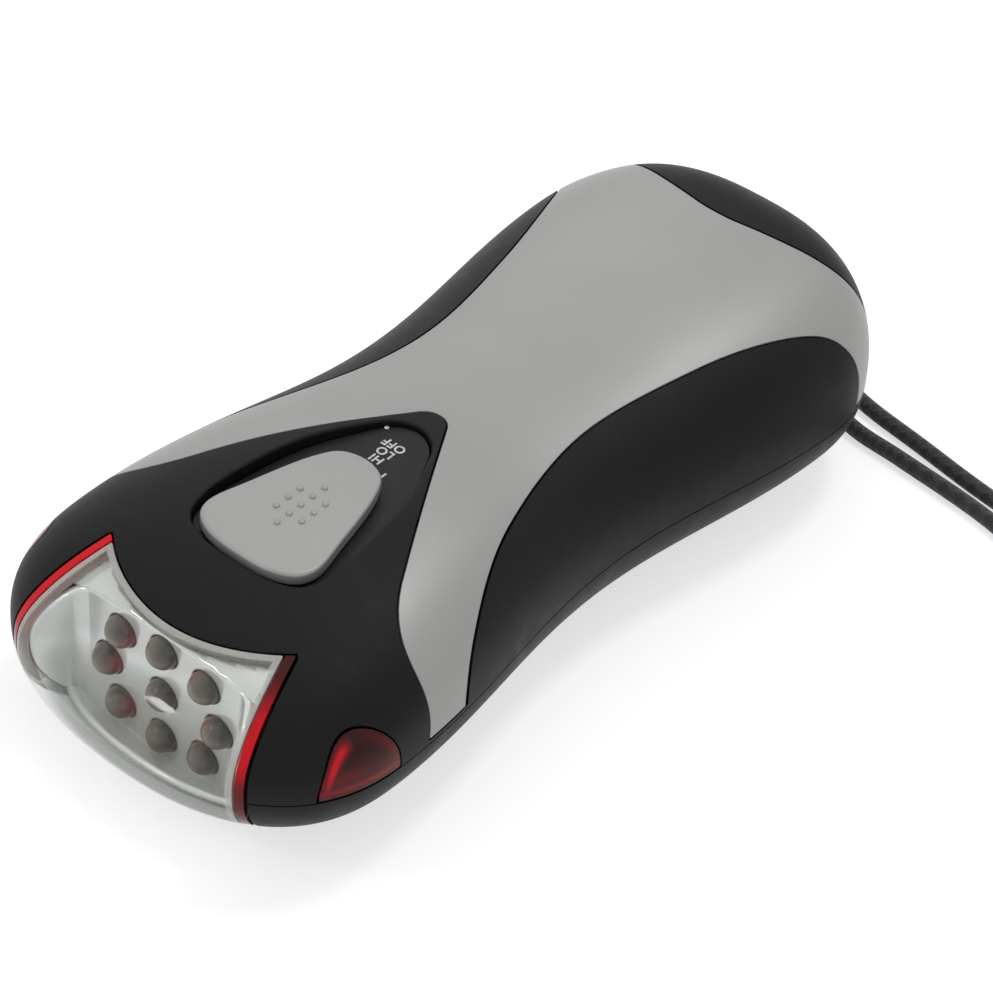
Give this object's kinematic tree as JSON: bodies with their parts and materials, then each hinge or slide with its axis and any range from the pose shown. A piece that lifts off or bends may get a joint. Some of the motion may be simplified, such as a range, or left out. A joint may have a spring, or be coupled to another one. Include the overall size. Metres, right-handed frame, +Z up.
{
  "type": "hand crank flashlight",
  "caption": "Hand crank flashlight: waisted black casing, silver top cover, clear front lens over a lamp cluster, slide switch, folding crank in the underside and wrist cord.",
  "frame": {"origin": "centre of the underside, halfway along the casing, at the height of the surface that the flashlight lies on; the wrist cord is left out of the box", "axes": "+Y along the casing from the lens to the tail, +Z up through the silver cover, +X to the side that the wrist cord trails to"},
  "size_m": [0.1673, 0.1562, 0.0381],
  "materials": {
    "black_casing": "black moulded plastic with a soft satin coat",
    "silver_paint": "satin silver paint on moulded plastic",
    "clear_plastic": "clear polished plastic",
    "bright_plating": "bright plated plastic",
    "red_plastic": "tinted see-through red plastic",
    "lamp_resin": "clear lamp resin over a yellow phosphor",
    "circuit_board": "green solder mask",
    "dark_plastic": "fine-grained black plastic",
    "pale_nylon": "natural white nylon",
    "grey_plastic": "grey moulded plastic",
    "green_sleeve": "shrunk printed sleeve",
    "steel": "zinc plated steel",
    "brass": "turned brass",
    "copper": "enamelled copper wire",
    "ferrite": "sintered magnet",
    "black_cord": "braided polyester"
  },
  "bodies": {
    "casing": {"upper_casing": "black_casing", "lower_casing": "black_casing", "top_cover": "silver_paint", "front_lens": "clear_plastic", "reflector": "bright_plating", "red_window_left": "red_plastic", "red_window_right": "red_plastic", "led_board": "circuit_board", "led_1": "lamp_resin", "led_2": "lamp_resin", "led_3": "lamp_resin", "led_4": "lamp_resin", "led_5": "lamp_resin", "led_6": "lamp_resin", "led_7": "lamp_resin", "led_8": "lamp_resin", "led_9": "lamp_resin", "red_led_left": "red_plastic", "red_led_right": "red_plastic", "switch_panel": "dark_plastic", "switch_body": "steel", "main_board": "circuit_board", "board_screw_1": "steel", "board_screw_2": "steel", "battery_cell_1": "steel", "battery_cell_2": "steel", "battery_cell_3": "steel", "battery_sleeve": "green_sleeve", "gear_plate_lower": "grey_plastic", "gear_plate_upper": "grey_plastic", "gear_axle_1": "steel", "gear_axle_2": "steel", "gearbox_screw_1": "steel", "gearbox_screw_2": "steel", "gearbox_screw_3": "steel", "gearbox_screw_4": "steel", "stator_yoke": "steel", "stator_coil": "copper", "casing_screw_1": "steel", "casing_screw_2": "steel", "casing_screw_3": "steel", "casing_screw_4": "steel", "cord_crimp": "steel", "wrist_cord": "black_cord"},
    "switch": {"switch_knob": "silver_paint", "switch_carriage": "pale_nylon", "switch_lever": "pale_nylon"},
    "crank": {"crank_drum": "dark_plastic", "drive_gear": "pale_nylon", "crank_shaft": "steel", "crank_hinge_pin": "steel"},
    "arm": {"crank_arm": "dark_plastic", "knob_pin": "steel"},
    "knob": {"crank_knob": "dark_plastic"},
    "gear_1": {"compound_gear_1": "pale_nylon"},
    "gear_2": {"compound_gear_2": "pale_nylon"},
    "rotor": {"rotor_shaft": "steel", "rotor_magnet": "ferrite", "rotor_pinion": "brass"}
  },
  "joints": [
    {"name": "crank_spin", "type": "hinge", "parent": "casing", "child": "crank", "pos_m": [0, 0.042, 0], "axis": [0, 0, 1], "continuous": true},
    {"name": "arm_fold", "type": "hinge", "parent": "crank", "child": "arm", "pos_m": [0, 0.056, 0.0019], "axis": [1, 0, 0], "range_deg": [0, 180]},
    {"name": "knob_spin", "type": "hinge", "parent": "arm", "child": "knob", "pos_m": [0, 0.03446, 0], "axis": [0, 0, 1], "continuous": true},
    {"name": "switch_slide", "type": "slide", "parent": "casing", "child": "switch", "axis": [0, 0.999, 0.045], "range_m": [0, 0.0075]},
    {"name": "gear_1_spin", "type": "hinge", "parent": "casing", "child": "gear_1", "pos_m": [-0.00927, 0.01905, 0], "axis": [0, 0, 1], "continuous": true},
    {"name": "gear_2_spin", "type": "hinge", "parent": "casing", "child": "gear_2", "pos_m": [0.00541, 0.01221, 0], "axis": [0, 0, 1], "continuous": true},
    {"name": "rotor_spin", "type": "hinge", "parent": "casing", "child": "rotor", "pos_m": [-0.00222, -0.00001, 0], "axis": [0, 0, 1], "continuous": true}
  ],
  "couplings": [
    {"joint": "gear_1_spin", "follows": "crank_spin", "ratio": -4},
    {"joint": "gear_2_spin", "follows": "crank_spin", "ratio": 12},
    {"joint": "rotor_spin", "follows": "crank_spin", "ratio": -36}
  ]
}
